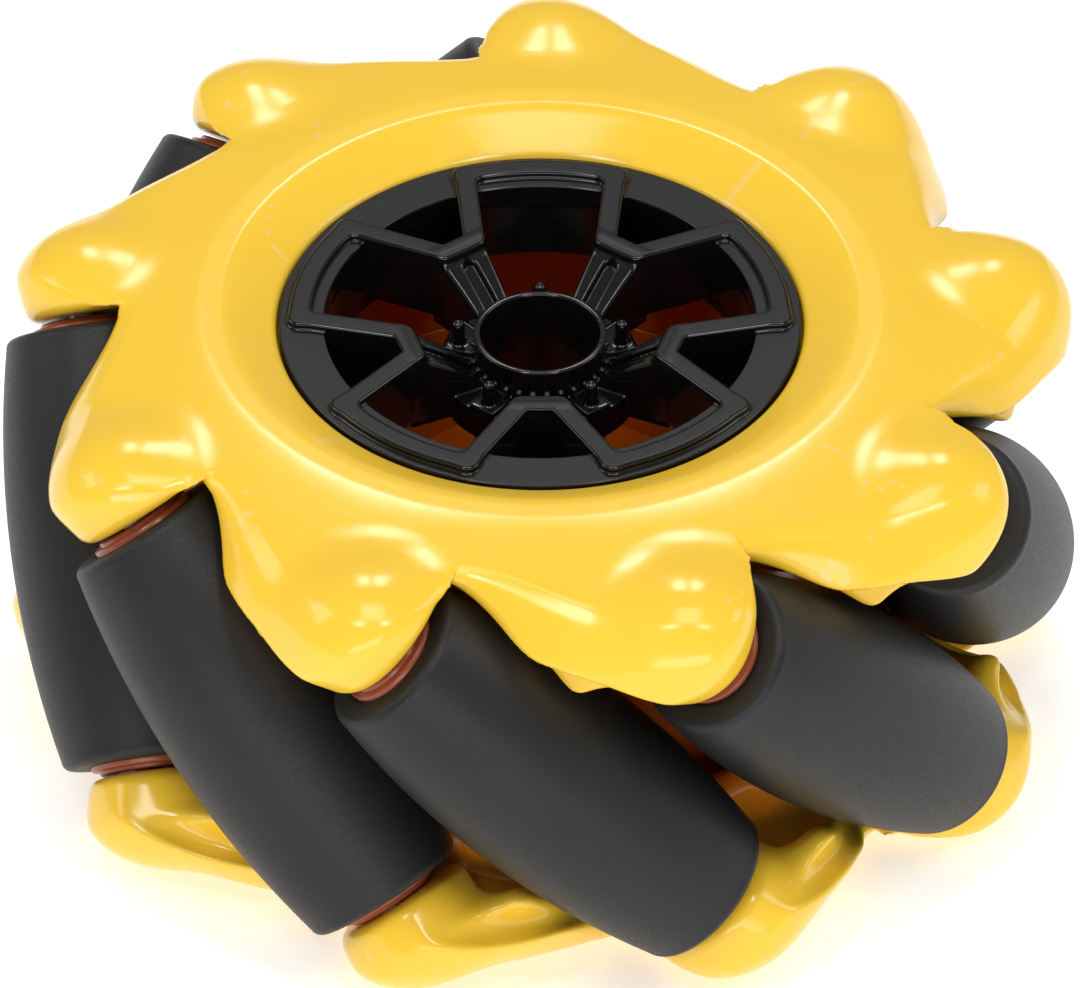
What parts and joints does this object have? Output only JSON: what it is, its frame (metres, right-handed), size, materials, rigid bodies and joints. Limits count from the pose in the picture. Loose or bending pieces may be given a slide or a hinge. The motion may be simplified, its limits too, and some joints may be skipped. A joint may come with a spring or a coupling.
{
  "type": "mecanum wheel",
  "caption": "Omnidirectional wheel with angled barrel rollers held between two lobed shells, and a spoked centre cap.",
  "frame": {"origin": "centre of the back face, where the wheel lies on the ground and its shaft bore opens", "axes": "+Z along the wheel's axis, out of the front face; the first roller is 31 degrees from +X towards +Y"},
  "size_m": [0.065, 0.065, 0.03],
  "materials": {
    "yellow_plastic": "gloss",
    "black_plastic": "gloss",
    "red_brown_plastic": "gloss",
    "tread_rubber": "matte",
    "axle_steel": "satin",
    "screw_steel": "satin",
    "coupling_metal": "satin"
  },
  "bodies": {
    "hub": {"front_shell": "yellow_plastic", "rear_shell": "yellow_plastic", "rim_insert": "black_plastic", "shaft_coupling": "coupling_metal", "coupling_set_screw": "screw_steel", "centre_screw": "screw_steel", "shell_screws": "screw_steel", "roller_axle_1": "axle_steel", "roller_axle_2": "axle_steel", "roller_axle_3": "axle_steel", "roller_axle_4": "axle_steel", "roller_axle_5": "axle_steel", "roller_axle_6": "axle_steel", "roller_axle_7": "axle_steel", "roller_axle_8": "axle_steel", "roller_axle_9": "axle_steel"},
    "roller_1": {"roller_core_1": "red_brown_plastic", "roller_tread_1": "tread_rubber"},
    "roller_2": {"roller_core_2": "red_brown_plastic", "roller_tread_2": "tread_rubber"},
    "roller_3": {"roller_core_3": "red_brown_plastic", "roller_tread_3": "tread_rubber"},
    "roller_4": {"roller_core_4": "red_brown_plastic", "roller_tread_4": "tread_rubber"},
    "roller_5": {"roller_core_5": "red_brown_plastic", "roller_tread_5": "tread_rubber"},
    "roller_6": {"roller_core_6": "red_brown_plastic", "roller_tread_6": "tread_rubber"},
    "roller_7": {"roller_core_7": "red_brown_plastic", "roller_tread_7": "tread_rubber"},
    "roller_8": {"roller_core_8": "red_brown_plastic", "roller_tread_8": "tread_rubber"},
    "roller_9": {"roller_core_9": "red_brown_plastic", "roller_tread_9": "tread_rubber"}
  },
  "joints": [
    {"name": "roller_1_spin", "type": "hinge", "parent": "hub", "child": "roller_1", "pos_m": [0.02237, 0.01344, 0.015], "axis": [0.3642, -0.6061, 0.7071], "continuous": true},
    {"name": "roller_2_spin", "type": "hinge", "parent": "hub", "child": "roller_2", "pos_m": [0.0085, 0.02468, 0.015], "axis": [0.6686, -0.2302, 0.7071], "continuous": true},
    {"name": "roller_3_spin", "type": "hinge", "parent": "hub", "child": "roller_3", "pos_m": [-0.00935, 0.02437, 0.015], "axis": [0.6601, 0.2534, 0.7071], "continuous": true},
    {"name": "roller_4_spin", "type": "hinge", "parent": "hub", "child": "roller_4", "pos_m": [-0.02283, 0.01265, 0.015], "axis": [0.3428, 0.6184, 0.7071], "continuous": true},
    {"name": "roller_5_spin", "type": "hinge", "parent": "hub", "child": "roller_5", "pos_m": [-0.02562, -0.00498, 0.015], "axis": [-0.1349, 0.6941, 0.7071], "continuous": true},
    {"name": "roller_6_spin", "type": "hinge", "parent": "hub", "child": "roller_6", "pos_m": [-0.01643, -0.02028, 0.015], "axis": [-0.5495, 0.445, 0.7071], "continuous": true},
    {"name": "roller_7_spin", "type": "hinge", "parent": "hub", "child": "roller_7", "pos_m": [0.00046, -0.0261, 0.015], "axis": [-0.707, -0.0123, 0.7071], "continuous": true},
    {"name": "roller_8_spin", "type": "hinge", "parent": "hub", "child": "roller_8", "pos_m": [0.01712, -0.0197, 0.015], "axis": [-0.5337, -0.4639, 0.7071], "continuous": true},
    {"name": "roller_9_spin", "type": "hinge", "parent": "hub", "child": "roller_9", "pos_m": [0.02578, -0.00408, 0.015], "axis": [-0.1106, -0.6984, 0.7071], "continuous": true}
  ]
}
